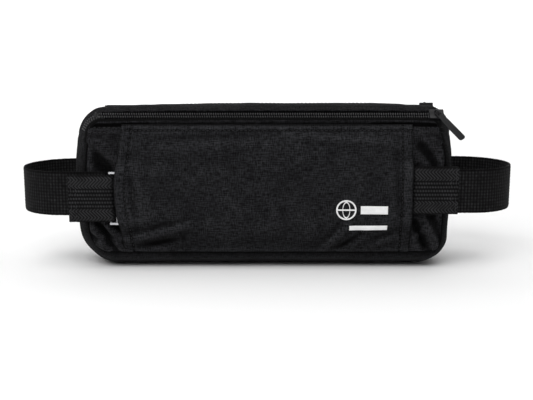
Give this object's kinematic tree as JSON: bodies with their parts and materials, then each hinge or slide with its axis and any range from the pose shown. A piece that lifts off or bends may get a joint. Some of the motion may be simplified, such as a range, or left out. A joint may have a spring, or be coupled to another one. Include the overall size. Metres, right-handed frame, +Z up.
{
  "type": "waist bag",
  "caption": "Slim two-pocket waist bag with zipped top, open front sleeve, metal slide and a side-release buckle belt of elastic webbing.",
  "frame": {"origin": "middle of the flat base", "axes": "+X to the bag's right seen from the front, +Y to its back, +Z up"},
  "size_m": [0.3189, 0.0714, 0.1065],
  "materials": {
    "shell_fabric": "plain-woven polyester, faint sheen",
    "lining": "thin lining cloth",
    "binding": "narrow woven binding",
    "webbing": "ribbed woven webbing",
    "elastic": "fine ribbed elastic",
    "zip_tape": "fine woven tape",
    "zip_coil": "satin",
    "slider_metal": "gloss black enamel",
    "pull_metal": "gloss black enamel",
    "chrome_slide": "polished",
    "buckle_plastic": "satin",
    "print": "matt white ink"
  },
  "bodies": {
    "bag": {"front_panel": "shell_fabric", "back_panel": "shell_fabric", "side_gusset": "shell_fabric", "zip_gusset": "shell_fabric", "divider": "lining", "front_seam_tape": "binding", "back_seam_tape": "binding", "front_sleeve": "shell_fabric", "printed_mark": "print", "front_zip_lower_tape": "zip_tape", "front_zip_lower_coil": "zip_coil", "front_zip_stop": "slider_metal", "rear_zip_lower_tape": "zip_tape", "rear_zip_lower_coil": "zip_coil", "rear_zip_stop": "slider_metal", "left_anchor_web": "webbing", "right_anchor_web": "webbing"},
    "front_lid": {"front_lid": "shell_fabric", "front_zip_upper_tape": "zip_tape", "front_zip_upper_coil": "zip_coil"},
    "rear_lid": {"rear_lid": "shell_fabric", "rear_zip_upper_tape": "zip_tape", "rear_zip_upper_coil": "zip_coil"},
    "front_slider": {"front_zip_slider": "slider_metal"},
    "front_pull": {"front_zip_pull": "pull_metal"},
    "rear_slider": {"rear_zip_slider": "slider_metal"},
    "rear_pull": {"rear_zip_pull": "pull_metal"},
    "metal_slide": {"metal_slide": "chrome_slide"},
    "left_belt": {"left_tab": "webbing", "left_elastic": "elastic", "left_buckle_fold": "elastic", "buckle_socket": "buckle_plastic"},
    "right_belt": {"right_tab": "webbing", "right_elastic": "elastic", "right_buckle_fold": "elastic", "buckle_plug": "buckle_plastic"},
    "lower_prong": {"lower_prong": "buckle_plastic"},
    "upper_prong": {"upper_prong": "buckle_plastic"}
  },
  "joints": [
    {"name": "front_zip_run", "type": "slide", "parent": "bag", "child": "front_slider", "axis": [-1, 0, 0], "range_m": [0, 0.204], "deforming": ["front_zip_lower_coil", "front_zip_upper_coil"]},
    {"name": "front_pull_swing", "type": "hinge", "parent": "front_slider", "child": "front_pull", "pos_m": [0.109, -0.02205, 0.10205], "axis": [-0.7971, -0.427, -0.427], "range_deg": [0, 150]},
    {"name": "rear_zip_run", "type": "slide", "parent": "bag", "child": "rear_slider", "axis": [-1, 0, 0], "range_m": [0, 0.204], "deforming": ["rear_zip_lower_coil", "rear_zip_upper_coil"]},
    {"name": "rear_pull_swing", "type": "hinge", "parent": "rear_slider", "child": "rear_pull", "pos_m": [0.109, 0.01945, 0.10465], "axis": [0.7971, -0.427, 0.427], "range_deg": [0, 150]},
    {"name": "front_lid_lift", "type": "hinge", "parent": "bag", "child": "front_lid", "pos_m": [0, 0.004, 0.106], "axis": [-1, 0, 0], "range_deg": [0, 85]},
    {"name": "rear_lid_lift", "type": "hinge", "parent": "bag", "child": "rear_lid", "pos_m": [0, 0.004, 0.106], "axis": [1, 0, 0], "range_deg": [0, 85]},
    {"name": "slide_tilt", "type": "hinge", "parent": "bag", "child": "metal_slide", "pos_m": [-0.0876, -0.0266, 0.0466], "axis": [0, 0, 1], "range_deg": [0, 12]},
    {"name": "left_belt_swing", "type": "hinge", "parent": "metal_slide", "child": "left_belt", "pos_m": [-0.0952, -0.0266, 0.0466], "axis": [0, 0, 1], "range_deg": [0, 75]},
    {"name": "right_belt_swing", "type": "hinge", "parent": "bag", "child": "right_belt", "pos_m": [0.097, -0.0266, 0.0516], "axis": [0, 0, -1], "range_deg": [0, 75]},
    {"name": "upper_prong_flex", "type": "hinge", "parent": "right_belt", "child": "upper_prong", "pos_m": [0.0226, 0.0324, 0.05985], "axis": [0, -1, 0], "range_deg": [0, 7], "stiffness_Nm_per_rad": 0.05},
    {"name": "lower_prong_flex", "type": "hinge", "parent": "right_belt", "child": "lower_prong", "pos_m": [0.0226, 0.0324, 0.04085], "axis": [0, 1, 0], "range_deg": [0, 7], "stiffness_Nm_per_rad": 0.05}
  ],
  "couplings": [
    {"joint": "lower_prong_flex", "follows": "upper_prong_flex", "ratio": 1}
  ]
}
